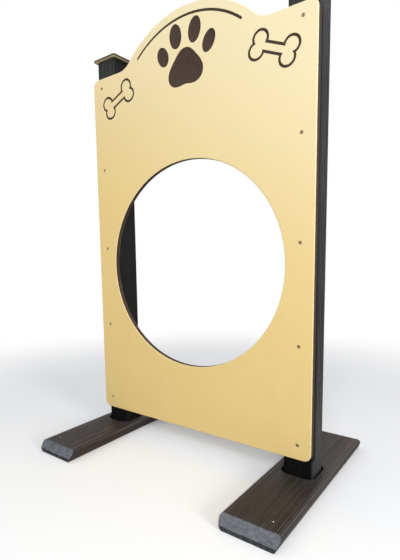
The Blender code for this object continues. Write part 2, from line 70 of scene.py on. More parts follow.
print("the solids span", [round(high - low, 4) for low, high in zip(*cad_box)], "m")

# %% [markdown]
# The panel faces the front, -Y, while drawing is easiest on paper, in X and Y. So most outlines are drawn
# flat, and one matrix stands them up. A box of each solid gives the places that the pieces are built to.

# %% Places taken from the solids
panel_low, panel_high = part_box("panel")
post_low, post_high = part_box("right_post")
cap_low, cap_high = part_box("right_post_cap")
board_low, board_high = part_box("right_foot_board")
post_axis = (post_low + post_high) / 2
POST_X, POST_Y = post_axis.x, post_axis.y
POST_SIDE = post_high.x - post_low.x
PANEL_WIDTH = panel_high.x - panel_low.x
SHEET = panel_high.y - panel_low.y
BOARD_TOP = board_high.z
SHOULDER = 1.280
UPRIGHT = Matrix.Rotation(radians(90), 4, "X")
print("posts at +-%.4f, %.4f, %.3f square" % (POST_X, POST_Y, POST_SIDE))

# %% [markdown]
# ## Drawing with a pen
#
# An outline could be typed in as a list of points. It is drawn here the way a draughtsman would, with a pen
# that goes straight to a place or sweeps round a centre. Each move is one bmesh operator: extruding a
# vertex, or spinning it.

# %% Pen, fill and sweep helpers
WELD = 1e-6


def weld(bm):
    bmesh.ops.remove_doubles(bm, verts=bm.verts, dist=WELD)


def face_outwards(bm):
    bmesh.ops.recalc_face_normals(bm, faces=bm.faces)


def only(kind, geom):
    """The vertices, the edges or the faces of what an operator gives."""
    return [piece for piece in geom if isinstance(piece, kind)]


def straight(bm, vert, *places):
    """Draws straight on to each (x, y) place, and gives the last vertex."""
    for x, y in places:
        vert = bmesh.ops.extrude_vert_indiv(bm, verts=[vert])["verts"][0]
        vert.co.x, vert.co.y = x, y
    return vert


def sweep(bm, vert, centre, degrees, steps):
    """Draws an arc about a centre, anticlockwise, and gives the last vertex."""
    made = bmesh.ops.spin(
        bm, geom=[vert], cent=(*centre, 0), axis=(0, 0, 1), angle=radians(degrees), steps=steps
    )
    return only(BMVert, made["geom_last"])[0]


def filled(bm):
    """Welds the drawn line into one closed loop and makes its face, which looks up."""
    weld(bm)
    bmesh.ops.contextual_create(bm, geom=bm.edges[:])
    face = bm.faces[:][0]
    face.normal_update()
    if face.normal.z < 0:
        bmesh.ops.reverse_faces(bm, faces=[face])
    return face


def raised(bm, face, height):
    """Turns a face into a solid, with the face at height 0 and its copy at the height given."""
    made = bmesh.ops.extrude_face_region(bm, geom=[face])["geom"]
    bmesh.ops.translate(bm, verts=only(BMVert, made), vec=(0, 0, height))
    face_outwards(bm)


def turned(bm, profile, centre=(0, 0), steps=48):
    """Spins a (radius, height) profile about an upright axis, as a lathe would."""
    vert = bm.verts.new((centre[0] + profile[0][0], centre[1], profile[0][1]))
    line = [vert]
    for radius, height in profile[1:]:
        made = bmesh.ops.extrude_vert_indiv(bm, verts=[vert])
        vert = made["verts"][0]
        vert.co = (centre[0] + radius, centre[1], height)
        line += [vert, made["edges"][0]]
    bmesh.ops.spin(
        bm, geom=line, cent=(*centre, 0), axis=(0, 0, 1), angle=2 * pi, steps=steps, use_merge=True
    )


def lathe(profile, steps):
    """A closed turned solid, in a bmesh of its own."""
    bm = bmesh.new()
    turned(bm, profile, steps=steps)
    weld(bm)
    face_outwards(bm)
    return bm


def stand(bm, low, high):
    """Moves a piece to the foot of a solid's box."""
    bm.transform(Matrix.Translation(((low.x + high.x) / 2, (low.y + high.y) / 2, low.z)))

# %% [markdown]
# Flat faces with holes come last. Each feature is made with a narrow flat collar round it, which keeps its
# rounded lip from shading the flat area. One fill then closes everything that is still open at a height.

# %% Round the rims, open the flats and close them again
COLLAR = 0.0008


def rounded(bm, geom, radius, segments, affect="EDGES"):
    """Rounds the edges given, or the corners where VERTICES is asked for."""
    bmesh.ops.bevel(
        bm,
        geom=geom,
        offset=radius,
        offset_type="OFFSET",
        segments=segments,
        profile=0.5,
        affect=affect,
        material=-1,
    )


def round_rims(bm, radius, segments):
    """Rounds the edges that run round the top and the foot of a solid."""
    rims = [edge for edge in bm.edges if abs(edge.verts[0].co.z - edge.verts[1].co.z) < WELD]
    rounded(bm, rims, radius, segments)


def open_flat(bm, height):
    """Leaves only a collar of the big flat face at this height."""
    flats = [face for face in bm.faces if abs(face.calc_center_median().z - height) < WELD]
    widest = max(flats, key=lambda face: face.calc_area())
    bmesh.ops.inset_region(bm, faces=[widest], thickness=COLLAR, use_even_offset=True)
    bmesh.ops.delete(bm, geom=[widest], context="FACES_ONLY")


def close_flat(bm, height, up):
    """Fills between all open loops at this height, and prints the area it made."""
    rims = [
        edge
        for edge in bm.edges
        if edge.is_boundary and all(abs(vert.co.z - height) < WELD for vert in edge.verts)
    ]
    made = bmesh.ops.triangle_fill(bm, use_beauty=True, edges=rims, normal=(0, 0, up))["geom"]
    faces = only(BMFace, made)
    print("  closed %.4f m2 with %d faces" % (sum(face.calc_area() for face in faces), len(faces)))

# %% [markdown]
# Every finished piece goes through one function. Its object stays at the origin with its place in the mesh.
# It rides on the model's one body, and the solid that it stands for is hidden.

# %% Finish a piece
SHARP = radians(34)


def as_mesh(name, bm):
    """Makes a mesh of a bmesh and frees it."""
    mesh = bpy.data.meshes.new(name)
    bm.to_mesh(mesh)
    bm.free()
    return mesh


def new_object(name, data):
    """Puts a mesh, a lamp or a camera into the scene."""
    thing = bpy.data.objects.new(name, data)
    bpy.context.scene.collection.objects.link(thing)
    return thing


def shade(mesh):
    mesh.shade_smooth()
    mesh.set_sharp_from_angle(angle=SHARP)


def finished(name, bm, solid, slot, *finishes):
    """Makes the object from its bmesh and hides the solid that it stands for."""
    mesh = as_mesh(name, bm)
    shade(mesh)
    for finish in finishes:
        mesh.materials.append(finish)
    thing = new_object(name, mesh)
    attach(thing, "root")
    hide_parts(solid)
    return thing


def cut_away(thing, bm):
    """Takes the shape in a bmesh out of a piece for good, with the exact Boolean."""
    face_outwards(bm)
    shape = as_mesh("cutter", bm)
    tool = new_object("cutter", shape)
    boolean = thing.modifiers.new("cut", "BOOLEAN")
    boolean.operation = "DIFFERENCE"
    boolean.solver = "EXACT"
    boolean.object = tool
    seen = thing.evaluated_get(bpy.context.evaluated_depsgraph_get())
    cut = bpy.data.meshes.new_from_object(seen)
    whole = thing.data
    thing.modifiers.clear()
    thing.data = cut
    bpy.data.meshes.remove(whole)
    bpy.data.objects.remove(tool)
    bpy.data.meshes.remove(shape)
    shade(cut)
    print(" ", thing.name, len(cut.polygons), "faces after the cut")

# %% [markdown]
# ## Writing materials
#
# A material is a tree of nodes. A few small helpers keep each tree readable: one adds any shader node with
# its settings and inputs, others do arithmetic, take a vector apart, map a value or mix two colours.

# %% Node helpers
def node(tree, kind, inputs=None, **settings):
    made = tree.nodes.new("ShaderNode" + kind)
    for name, value in settings.items():
        setattr(made, name, value)
    for socket, value in (inputs or {}).items():
        if isinstance(value, bpy.types.NodeSocket):
            tree.links.new(value, made.inputs[socket])
        else:
            made.inputs[socket].default_value = value
    return made


def maths(tree, operation, *values):
    return node(tree, "Math", dict(enumerate(values)), operation=operation).outputs[0]


def times(tree, first, second):
    return maths(tree, "MULTIPLY", first, second)


def apart(tree, first, second):
    """How far two values lie apart."""
    return maths(tree, "ABSOLUTE", maths(tree, "SUBTRACT", first, second))


def largest(tree, first, *others):
    for other in others:
        first = maths(tree, "MAXIMUM", first, other)
    return first


def xyz(tree, vector):
    """The three parts of a vector."""
    return node(tree, "SeparateXYZ", {0: vector}).outputs


def ramp(tree, value, low, high, start=0.0, end=1.0):
    """Maps a value smoothly: start below low, end above high."""
    inputs = {"Value": value, "From Min": low, "From Max": high, "To Min": start, "To Max": end}
    return node(tree, "MapRange", inputs, interpolation_type="SMOOTHSTEP").outputs[0]


def mixed(tree, mask, first, second):
    """The first colour where the mask is 0 and the second where it is 1."""
    return node(tree, "Mix", {0: mask, 6: first, 7: second}, data_type="RGBA").outputs[2]


def noise(tree, vector, scale, detail=3.0, roughness=0.55):
    inputs = {"Vector": vector, "Scale": scale, "Detail": detail, "Roughness": roughness}
    return node(tree, "TexNoise", inputs).outputs[0]


def mapped(tree, vector, scale=(1, 1, 1)):
    return node(tree, "Mapping", {"Vector": vector, "Scale": scale}).outputs[0]


def new_group(name, inputs, outputs):
    """A shader node group with named sockets: the tree, its input sockets and its output node."""
    tree = bpy.data.node_groups.new(name, "ShaderNodeTree")
    for socket, kind, value in inputs:
        made = tree.interface.new_socket(socket, in_out="INPUT", socket_type="NodeSocket" + kind)
        if value is not None:
            made.default_value = value
    for socket in outputs:
        tree.interface.new_socket(socket, in_out="OUTPUT", socket_type="NodeSocketFloat")
    return tree, tree.nodes.new("NodeGroupInput").outputs, tree.nodes.new("NodeGroupOutput")


def placed(tree, group, inputs):
    """Puts a node group into a material with its own values, and gives its outputs."""
    return node(tree, "Group", inputs, node_tree=group).outputs


def new_material(name, **sockets):
    """A material, its tree, its Principled shader and the coordinates that it reads."""
    made = bpy.data.materials.new(name)
    made.use_nodes = True
    tree = made.node_tree
    shader = tree.nodes["Principled BSDF"]
    for socket, value in sockets.items():
        shader.inputs[socket.replace("_", " ")].default_value = value
    return made, tree, shader, node(tree, "TexCoord").outputs


def bumped(tree, shader, height, distance):
    made = node(tree, "Bump", {"Height": height, "Distance": distance, "Strength": 1.0})
    tree.links.new(made.outputs[0], shader.inputs["Normal"])


def linked(tree, shader, **sockets):
    for socket, value in sockets.items():
        tree.links.new(value, shader.inputs[socket.replace("_", " ")])

# %% [markdown]
# Outdoor plastic shows the same few things everywhere: a fine grain, slow changes of tone from sun and rain,
# pale rubbed edges, on the panel partly a painted highlight, and dirt in the hollows, partly painted shade. Each
# is a node group, built once and used with its own values.
#
# A rubbed edge needs no picture. On a piece with flat sides, a rounded edge is where the surface faces
# none of the six directions squarely, and that can be read from the normal in Object coordinates.

# %% Node group: rubbed edges
rubbed, given, out = new_group(
    "rubbed edges",
    [("Place", "Vector", None), ("Facing", "Vector", None), ("Amount", "Float", 1.0)],
    ["Mask"],
)
squarely = largest(rubbed, *[maths(rubbed, "ABSOLUTE", part) for part in xyz(rubbed, given["Facing"])])
on_edge = ramp(rubbed, squarely, 0.72, 0.995, 1.0, 0.0)
patchy = ramp(rubbed, noise(rubbed, given["Place"], 38.0, 4.0), 0.32, 0.62, 0.35, 1.0)
amount = times(rubbed, times(rubbed, on_edge, patchy), given["Amount"])
rubbed.links.new(amount, out.inputs["Mask"])

# %% Node group: fine grain
grain, given, out = new_group(
    "fine grain",
    [("Place", "Vector", None), ("Scale", "Float", 900.0), ("Pits", "Float", 0.3)],
    ["Height", "Tone"],
)
fine = noise(grain, given["Place"], given["Scale"], 2.0)
cells = node(grain, "TexVoronoi", {"Vector": given["Place"], "Scale": given["Scale"]})
pits = times(grain, ramp(grain, cells.outputs["Distance"], 0.0, 0.45, 1.0, 0.0), given["Pits"])
grain.links.new(maths(grain, "SUBTRACT", fine, pits), out.inputs["Height"])
grain.links.new(fine, out.inputs["Tone"])

# %% Node group: weathering
weather, given, out = new_group(
    "weathering",
    [("Place", "Vector", None), ("Broad", "Float", 3.0), ("Close", "Float", 22.0)],
    ["Tone", "Stain"],
)
broad = noise(weather, given["Place"], given["Broad"], 2.0)
close = noise(weather, given["Place"], given["Close"], 5.0)
tone = maths(weather, "ADD", times(weather, broad, 0.6), times(weather, close, 0.4))
weather.links.new(ramp(weather, tone, 0.34, 0.66), out.inputs["Tone"])
stain = times(weather, ramp(weather, broad, 0.5, 0.72), ramp(weather, close, 0.45, 0.7))
weather.links.new(stain, out.inputs["Stain"])
print("node groups:", ", ".join(group.name for group in bpy.data.node_groups))

# %% [markdown]
# ## The two-colour sheet
#
# Skins and core are one sheet, so the colour has to come from the depth below the face, whatever cut through
# it. The material measures how far a point lies from the middle of the sheet: beyond a certain distance it is
# skin, nearer it is core. Engravings and edges then show the dark core by themselves, as a router bares it.

# %% Two-colour sheet
SKIN_YELLOW = (0.750, 0.562, 0.225, 1)
# Painted sheen: the paler, less yellow skin that the colour turns to towards the panel's top right.
SKIN_PAINTED_SHEEN = (0.765, 0.662, 0.415, 1)
# Pale rounded rims: partly real wear, partly a painted highlight of the light on them.
SKIN_RUBBED_AND_HIGHLIT = (0.93, 0.84, 0.62, 1)
SKIN_SHADY = (0.728, 0.535, 0.205, 1)
CORE_BROWN = (0.034, 0.017, 0.010, 1)
CORE_PALE = (0.085, 0.055, 0.037, 1)
# The direction and the range over which the skin turns to the painted sheen.
PAINTED_SHEEN_TOWARDS = (0.5, 0, 1)
PAINTED_SHEEN_RANGE = (0.6, 1.65)
PANEL_SKIN = 0.0016
CAP_SKIN = 0.0011
SKIN_BLUR = 0.00008


def two_colour_sheet(name, axis, middle, thickness, skin):
    """Skins and core, told apart by the depth below the two faces that lie across the axis."""
    made, tree, shader, place = new_material(name, Specular_IOR_Level=0.5)
    here = place["Object"]
    depth = apart(tree, xyz(tree, here)[axis], middle)
    border = thickness / 2 - skin
    is_skin = ramp(tree, depth, border - SKIN_BLUR, border + SKIN_BLUR)
    aged = placed(tree, weather, {"Place": here, "Broad": 2.2, "Close": 16.0})
    worn = placed(tree, rubbed, {"Place": here, "Facing": place["Normal"], "Amount": 0.5})["Mask"]
    pebble = placed(tree, grain, {"Place": here, "Scale": 1100.0, "Pits": 0.25})
    yellow = mixed(tree, aged["Tone"], SKIN_SHADY, SKIN_YELLOW)
    yellow = mixed(tree, times(tree, aged["Stain"], 0.5), yellow, SKIN_SHADY)
    # Painted sheen: paler towards the top and the right, a highlight painted into the skin's colour.
    towards_painted_sheen = node(tree, "VectorMath", {0: here, 1: PAINTED_SHEEN_TOWARDS}, operation="DOT_PRODUCT").outputs["Value"]
    yellow = mixed(tree, ramp(tree, towards_painted_sheen, *PAINTED_SHEEN_RANGE), yellow, SKIN_PAINTED_SHEEN)
    # Rubbed rims turn pale: partly real wear, partly a painted highlight.
    yellow = mixed(tree, worn, yellow, SKIN_RUBBED_AND_HIGHLIT)
    finest = [400, 400, 400]
    finest[axis] = 30
    tool_marks = noise(tree, mapped(tree, here, scale=finest), 1.0, 3.0)
    core_tone = times(tree, ramp(tree, tool_marks, 0.35, 0.75), 0.55)
    core = mixed(tree, core_tone, CORE_BROWN, CORE_PALE)
    rough = ramp(tree, is_skin, 0.0, 1.0, 0.85, 0.50)
    rough = maths(tree, "ADD", rough, times(tree, pebble["Tone"], 0.10))
    linked(tree, shader, Base_Color=mixed(tree, is_skin, core, yellow), Roughness=rough)
    rougher = times(tree, tool_marks, ramp(tree, is_skin, 0.0, 1.0, 1.5, 0.0))
    bumped(tree, shader, maths(tree, "ADD", pebble["Height"], rougher), 0.00005)
    return made


panel_sheet = two_colour_sheet("two_colour_sheet", 1, (panel_low.y + panel_high.y) / 2, SHEET, PANEL_SKIN)
cap_thick = cap_high.z - cap_low.z
cap_middle = cap_low.z + cap_thick / 2
cap_sheet = two_colour_sheet("thin_two_colour_sheet", 2, cap_middle, cap_thick, CAP_SKIN)
print("the panel's core is %.1f mm thick" % (1000 * (SHEET - 2 * PANEL_SKIN)))

# %% [markdown]
# ## Recycled plastic
#
# Posts and boards are extruded from mixed recycled plastic: almost black, matt, with faint lines along their
# length and speckles of other colours. A stretched noise draws the lines. The colour turns lighter towards the
# ground, and each piece has its own places of dirt and painted shade, which a function of its own gives as a
# mask.

# %% Recycled plastic
# Near black, for dirt and painted shade alike.
DIRT_AND_SHADE = (0.002, 0.002, 0.002, 1)
# Heights between which the colour turns lighter towards the ground.
LIGHTER_LOW_HEIGHTS = (0.05, 0.7)


def recycled(name, dark, light, dusty, streak, spread, roughness, shine, dirt_and_shade, lighter_low=0.0):
    """Streaks between a dark and a light tone, dusty on top, lighter low down, and near black where the piece's
    mask of grime and painted shade says.
    """
    made, tree, shader, place = new_material(name, Specular_IOR_Level=shine)
    here = place["Object"]
    streaks = noise(tree, mapped(tree, here, scale=streak), 1.0, 4.0, 0.6)
    aged = placed(tree, weather, {"Place": here, "Broad": 4.0, "Close": 60.0})
    worn = placed(tree, rubbed, {"Place": here, "Facing": place["Normal"], "Amount": 0.5})["Mask"]
    pebble = placed(tree, grain, {"Place": here, "Scale": 700.0, "Pits": 0.5})
    colour = mixed(tree, ramp(tree, streaks, 0.5 - spread, 0.5 + spread), dark, light)
    # Lighter towards the ground, on every face of the piece.
    lighter_near_ground = ramp(tree, xyz(tree, here)[2], *LIGHTER_LOW_HEIGHTS, lighter_low, 0.0)
    dust_and_lighter_low = maths(tree, "ADD", times(tree, aged["Tone"], 0.35), lighter_near_ground)
    colour = mixed(tree, dust_and_lighter_low, colour, dusty)
    colour = mixed(tree, worn, colour, dusty)
    # The piece's own mask of dirt and painted shade darkens the colour to near black.
    colour = mixed(tree, dirt_and_shade(tree, here, place["Normal"]), colour, DIRT_AND_SHADE)
    rough = maths(tree, "ADD", roughness, times(tree, pebble["Tone"], 0.14))
    linked(tree, shader, Base_Color=colour, Roughness=rough)
    relief = maths(tree, "ADD", pebble["Height"], times(tree, streaks, 2.0))
    bumped(tree, shader, relief, 0.00008)
    return made


def from_post(tree, here):
    """How far a point lies from the nearer post's axis, sideways or lengthways, whichever is more."""
    x, y, z = xyz(tree, here)
    sideways = apart(tree, maths(tree, "ABSOLUTE", x), POST_X)
    return largest(tree, sideways, apart(tree, y, POST_Y))

# %% [markdown]
# On a foot board, dirt and painted shade lie between the ribs, painted shade fills the pocket and keeps the long
# sides darker than the top, and a painted shadow of the panel lies on the top in front of the post. The upright
# part of each sawn end, below its slope, is darker with painted shade.

# %% Dirt and painted shade on the foot boards
# Depths below the board's top, in metres, for the dirt and painted shade on a foot board.
RIB_DIRT_AND_SHADE = (0.0010, 0.0001)
RIB_FLOOR = (0.0024, 0.0021)
POCKET_SHADE = (0.0050, 0.0020)
# Depths below the top between which painted shade fades in on the upright part of a sawn end.
SAWN_UPRIGHT_SHADE = (0.0285, 0.0265)
POCKET_SHADE_REACH = 0.016
PANEL_SHADOW_BEFORE_POST = 0.16
PANEL_SHADOW_REACH = 0.27


def below_top(tree, height, depths, amount=1.0):
    """The amount from the first depth under the board's top downwards, and nothing above the second."""
    full, none = depths
    return ramp(tree, height, BOARD_TOP - full, BOARD_TOP - none, amount, 0.0)


def board_dirt_and_shade(tree, here, facing):
    """A mask of grime and painted shade between the ribs, painted shade in the pocket and on the long sides, and
    a painted shadow of the panel in front of the post.
    """
    x, y, height = xyz(tree, here)
    # Dirt and painted shade between the ribs.
    not_too_low = ramp(tree, height, BOARD_TOP - RIB_FLOOR[0], BOARD_TOP - RIB_FLOOR[1])
    groove = times(tree, below_top(tree, height, RIB_DIRT_AND_SHADE), not_too_low)
    groove = times(tree, groove, 0.95)
    # Painted shade in the pocket round the post, near black.
    near = maths(tree, "LESS_THAN", from_post(tree, here), POST_SIDE / 2 + POCKET_SHADE_REACH)
    pocket = times(tree, near, below_top(tree, height, POCKET_SHADE))
    # A painted shadow of the panel on the board's top, in front of the post.
    from_panel_shadow = apart(tree, y, POST_Y - PANEL_SHADOW_BEFORE_POST)
    panel_shadow = ramp(tree, from_panel_shadow, PANEL_SHADOW_REACH / 2, PANEL_SHADOW_REACH, 0.34, 0.0)
    # Painted shade on the long sides, which keeps them darker than the top.
    side = ramp(tree, maths(tree, "ABSOLUTE", xyz(tree, facing)[0]), 0.4, 0.95, 0.0, 0.5)
    return largest(tree, groove, pocket, panel_shadow, side)


def sawn_upright_shade(tree, here, facing):
    """A mask of painted shade on the upright part of a sawn end, below its slope."""
    return below_top(tree, xyz(tree, here)[2], SAWN_UPRIGHT_SHADE, 0.60)

# %% [markdown]
# On a post, dirt and painted shade lie in the grooves, the inner faces carry painted shade, and the panel's
# painted shadow darkens the front face below its shoulder. A painted shadow also lies in a strip on the outer
# face, just behind the panel's edge.

# %% Dirt and painted shade on the posts
POST_GROOVE_DIRT_AND_SHADE = (0.0012, 0.0002)
# How far behind the panel's back face the painted shadow strip on a post's outer face is full, and where it
# ends.
PANEL_EDGE_SHADOW_STRIP = (0.024, 0.034)


def post_dirt_and_shade(tree, here, facing):
    """A mask of grime and painted shade in the grooves, painted shade on the inner faces, and the panel's
    painted shadow on the front and just behind its edge.
    """
    x, y, z = xyz(tree, here)
    # Dirt and painted shade in the post's grooves.
    full, none = POST_GROOVE_DIRT_AND_SHADE
    groove = ramp(tree, from_post(tree, here), POST_SIDE / 2 - full, POST_SIDE / 2 - none, 0.85, 0.0)
    faces = xyz(tree, facing)
    # Painted shade on the inner faces, which look towards the other post.
    inward = times(tree, faces[0], maths(tree, "SIGN", x))
    inner = ramp(tree, inward, -0.8, -0.3, 0.90, 0.0)
    # Painted shade on the faces that look to the front.
    front = ramp(tree, faces[1], -0.5, -0.1, 1.0, 0.0)
    # A painted shadow strip on the outer face, just behind the panel's edge.
    near, far = PANEL_EDGE_SHADOW_STRIP
    shadow_strip = ramp(tree, y, panel_high.y + near, panel_high.y + far, 0.95, 0.0)
    shadow_strip = times(tree, shadow_strip, ramp(tree, z, panel_low.z - 0.02, panel_low.z, 0.3, 1.0))
    # The panel's painted shadow: full below its shoulder, weaker above it.
    shoulder = panel_low.z + SHOULDER
    under = ramp(tree, z, shoulder - 0.02, shoulder + 0.01, 1.0, 0.35)
    post_painted_shadow = times(tree, largest(tree, front, shadow_strip), under)
    return largest(tree, groove, inner, post_painted_shadow)

# %% Plastic of the posts, of the boards and of their sawn ends
post_plastic = recycled(
    "recycled_post_plastic",
    dark=(0.005, 0.005, 0.006, 1),
    light=(0.036, 0.036, 0.037, 1),
    dusty=(0.088, 0.088, 0.085, 1),
    streak=(220, 220, 3),
    spread=0.18,
    roughness=0.56,
    shine=0.20,
    dirt_and_shade=post_dirt_and_shade,
    lighter_low=0.6,
)
board_plastic = recycled(
    "recycled_board_plastic",
    dark=(0.012, 0.007, 0.005, 1),
    light=(0.092, 0.064, 0.052, 1),
    dusty=(0.108, 0.099, 0.093, 1),
    streak=(190, 2.5, 190),
    spread=0.15,
    roughness=0.40,
    shine=0.36,
    dirt_and_shade=board_dirt_and_shade,
)
sawn_plastic = recycled(
    "sawn_board_plastic",
    dark=(0.036, 0.040, 0.046, 1),
    light=(0.128, 0.138, 0.154, 1),
    dusty=(0.165, 0.175, 0.188, 1),
    streak=(90, 110, 160),
    spread=0.12,
    roughness=0.70,
    shine=0.15,
    dirt_and_shade=sawn_upright_shade,
)
print("plastics:", post_plastic.name, board_plastic.name, sawn_plastic.name)

# %% [markdown]
# ## Metal
#
# The panel's screws are steel with an olive-brown coating, the other fasteners are bare stainless steel. Both
# dull in patches with time and stay bright where they are rubbed, on the edges of their heads.

# %% Coated and stainless steel
OLIVE, OLIVE_DULL = (0.36, 0.285, 0.17, 1), (0.22, 0.17, 0.10, 1)
STAINLESS, STAINLESS_DULL = (0.62, 0.62, 0.63, 1), (0.42, 0.41, 0.40, 1)
RUBBED_BRIGHTER = 1.6


def steel(name, colour, tarnish, metallic, roughness):
    made, tree, shader, place = new_material(name, Metallic=metallic)
    here = place["Object"]
    aged = placed(tree, weather, {"Place": here, "Broad": 120.0, "Close": 700.0})
    worn = placed(tree, rubbed, {"Place": here, "Facing": place["Normal"], "Amount": 0.4})["Mask"]
    pebble = placed(tree, grain, {"Place": here, "Scale": 4000.0, "Pits": 0.2})
    shown = mixed(tree, times(tree, aged["Tone"], 0.6), colour, tarnish)
    shown = mixed(tree, worn, shown, tuple(min(1.0, value * RUBBED_BRIGHTER) for value in colour))
    rough = maths(tree, "ADD", roughness, times(tree, pebble["Tone"], 0.15))
    linked(tree, shader, Base_Color=shown, Roughness=rough)
    bumped(tree, shader, pebble["Height"], 0.00002)
    return made


coated_steel = steel("olive_coated_steel", OLIVE, OLIVE_DULL, 0.8, 0.42)
stainless = steel("bare_stainless_steel", STAINLESS, STAINLESS_DULL, 1.0, 0.22)
print("steels:", coated_steel.name, stainless.name)

# %% [markdown]
# ## The panel
#
# Its outline is drawn for the right half only, from the middle of the lower edge round to the crown of the
# dome, and mirrored. Then it is raised to the sheet's thickness, and its rims are rounded over.

# %% Panel outline
OPENING_RADIUS = 0.350
WALL_BELOW_OPENING = 0.230
DOME_RADIUS = 0.350
DOME_CENTRE = panel_high.z - panel_low.z - DOME_RADIUS
DOME_FILLET = 0.075
PANEL_CORNER = 0.025
RIM_ROUND = 0.0025
RIM_STEPS = 4
half = PANEL_WIDTH / 2
reach = DOME_RADIUS + DOME_FILLET
fillet_up = SHOULDER + DOME_FILLET - DOME_CENTRE
fillet_x = sqrt(reach**2 - fillet_up**2)
meeting = atan2(fillet_up, fillet_x) * 180 / pi

panel = bmesh.new()
pen = panel.verts.new((0, 0, 0))
pen = straight(panel, pen, (half - PANEL_CORNER, 0))
pen = sweep(panel, pen, (half - PANEL_CORNER, PANEL_CORNER), 90, 10)
pen = straight(panel, pen, (half, SHOULDER - PANEL_CORNER))
pen = sweep(panel, pen, (half - PANEL_CORNER, SHOULDER - PANEL_CORNER), 90, 10)
pen = straight(panel, pen, (fillet_x, SHOULDER))
pen = sweep(panel, pen, (fillet_x, SHOULDER + DOME_FILLET), meeting - 90, 16)
pen = sweep(panel, pen, (0, DOME_CENTRE), 90 - meeting, 36)
bmesh.ops.mirror(panel, geom=panel.verts[:] + panel.edges[:], merge_dist=WELD, axis="X")
face = filled(panel)
print("panel outline %.4f m2, %d corners" % (face.calc_area(), len(face.verts)))
raised(panel, face, -SHEET)
round_rims(panel, RIM_ROUND, RIM_STEPS)
open_flat(panel, 0)
open_flat(panel, -SHEET)

# %% [markdown]
# The opening and the ten screw holes are turned on the lathe helper, from collar to collar. A quarter circle
# in the profile makes the rounded rim, and a cone makes the countersink that each screw head lies in.

# %% Opening and screw holes in the panel
SCREW_INSET = 0.043
LOWEST_SCREW = 0.045
SCREWS_BELOW_SHOULDER = 0.035
SCREW_HEAD = 0.0105
SCREW_SHANK = 0.0055
SCREW_SUNK = 0.0006
ROOM = 0.0005
LIP = 0.0003
quarter = [pi / 2 * i / RIM_STEPS for i in range(RIM_STEPS + 1)]
rim = [(OPENING_RADIUS + RIM_ROUND * (1 - sin(a)), -RIM_ROUND * (1 - cos(a))) for a in quarter]
back_rim = [(radius, -SHEET - height) for radius, height in reversed(rim)]
widest = OPENING_RADIUS + RIM_ROUND + COLLAR
opening_centre = (0, WALL_BELOW_OPENING + OPENING_RADIUS)
turned(panel, [(widest, 0)] + rim + back_rim + [(widest, -SHEET)], opening_centre, 180)


def countersink(head, shank, sunk, thickness):
    """The profile of a countersunk hole, from its collar at height 0 to its collar at the back."""
    wide, narrow = head / 2 + ROOM, shank / 2 + ROOM
    profile = [(wide + LIP + COLLAR, 0), (wide + LIP, 0), (wide + LIP / 3, -LIP / 3), (wide, -LIP)]
    profile += [(wide, -sunk), (narrow, -sunk - wide + narrow)]
    return profile + [(narrow, -thickness), (narrow + COLLAR, -thickness)]


screw_x = half - SCREW_INSET
pitch = (SHOULDER - SCREWS_BELOW_SHOULDER - LOWEST_SCREW) / 4
screw_heights = [LOWEST_SCREW + pitch * i for i in range(5)]
for x in (-screw_x, screw_x):
    for z in screw_heights:
        turned(panel, countersink(SCREW_HEAD, SCREW_SHANK, SCREW_SUNK, SHEET), (x, z), 32)
print("opening %.3f m, screws every %.3f m" % (2 * OPENING_RADIUS, pitch))

# %% [markdown]
# ## The engraving
#
# The router leaves a flat floor 2 mm down, a straight wall and a slightly broken edge. Each shape starts as
# a flat face, drawn wider than the engraving by a collar. Insets then step inwards and down: the collar that
# stays flat, the broken edge, the wall, a small fillet and the floor.
#
# The motifs are plain ones: a paw print under the dome, a bone on each side and a line along the dome.

# %% Engraving helper
ENGRAVED_DEPTH = 0.002
BROKEN_EDGE = 0.0003
GROWN = COLLAR + BROKEN_EDGE


def engrave(bm):
    """Sinks the faces of a bmesh of their own, whose outline is already wider by GROWN."""
    floor = bm.faces[:]
    for width, down in (
        (COLLAR, 0),
        (BROKEN_EDGE * 0.7, -BROKEN_EDGE * 0.3),
        (BROKEN_EDGE * 0.3, -BROKEN_EDGE * 0.7),
        (0.00004, -ENGRAVED_DEPTH + BROKEN_EDGE + 0.0003),
        (0.0001, -0.0002),
        (0.0003, -0.0001),
    ):
        bmesh.ops.inset_region(
            bm, faces=floor, thickness=width, depth=down, use_boundary=True, use_even_offset=True
        )


def add_to(bm, other, place=(0, 0), tilt=0.0):
    """Moves the other bmesh to its place and joins it in."""
    other.transform(Matrix.Translation((*place, 0)) @ Matrix.Rotation(radians(tilt), 4, "Z"))
    mesh = as_mesh("joined", other)
    bm.from_mesh(mesh)
    bpy.data.meshes.remove(mesh)

# %% [markdown]
# The paw's toes are circles stretched into ovals. Its pad is a circle that is swelled into three soft lobes
# by moving each point of it in or out.

# %% Paw print
PAD_RADIUS = 0.062
PAW_DROP = 0.190
TOES = (((0.023, 0.034), (0.092, 0.058), 24), ((0.025, 0.039), (0.038, 0.107), 8))
paw_height = panel_high.z - panel_low.z - PAW_DROP

pad = bmesh.new()
bmesh.ops.create_circle(pad, cap_ends=True, segments=96, radius=1)
for vert in pad.verts:
    angle = atan2(vert.co.y, vert.co.x)
    vert.co *= PAD_RADIUS * (1 + 0.10 * cos(2 * angle) - 0.13 * sin(3 * angle)) + GROWN
engrave(pad)
add_to(panel, pad, (0, paw_height))
for (wide, tall), (x, z), tilt in TOES:
    for side in (-1, 1):
        toe = bmesh.new()
        bmesh.ops.create_circle(toe, cap_ends=True, segments=56, radius=1)
        bmesh.ops.scale(toe, verts=toe.verts, vec=(wide + GROWN, tall + GROWN, 1))
        engrave(toe)
        add_to(panel, toe, (side * x, paw_height + z), -side * tilt)

# %% [markdown]
# A bone is a line of one width all round, so it is a face between two outlines. Both are drawn with the same
# moves, one larger than the other, and bridged. The outline is drawn for one quarter and mirrored twice.

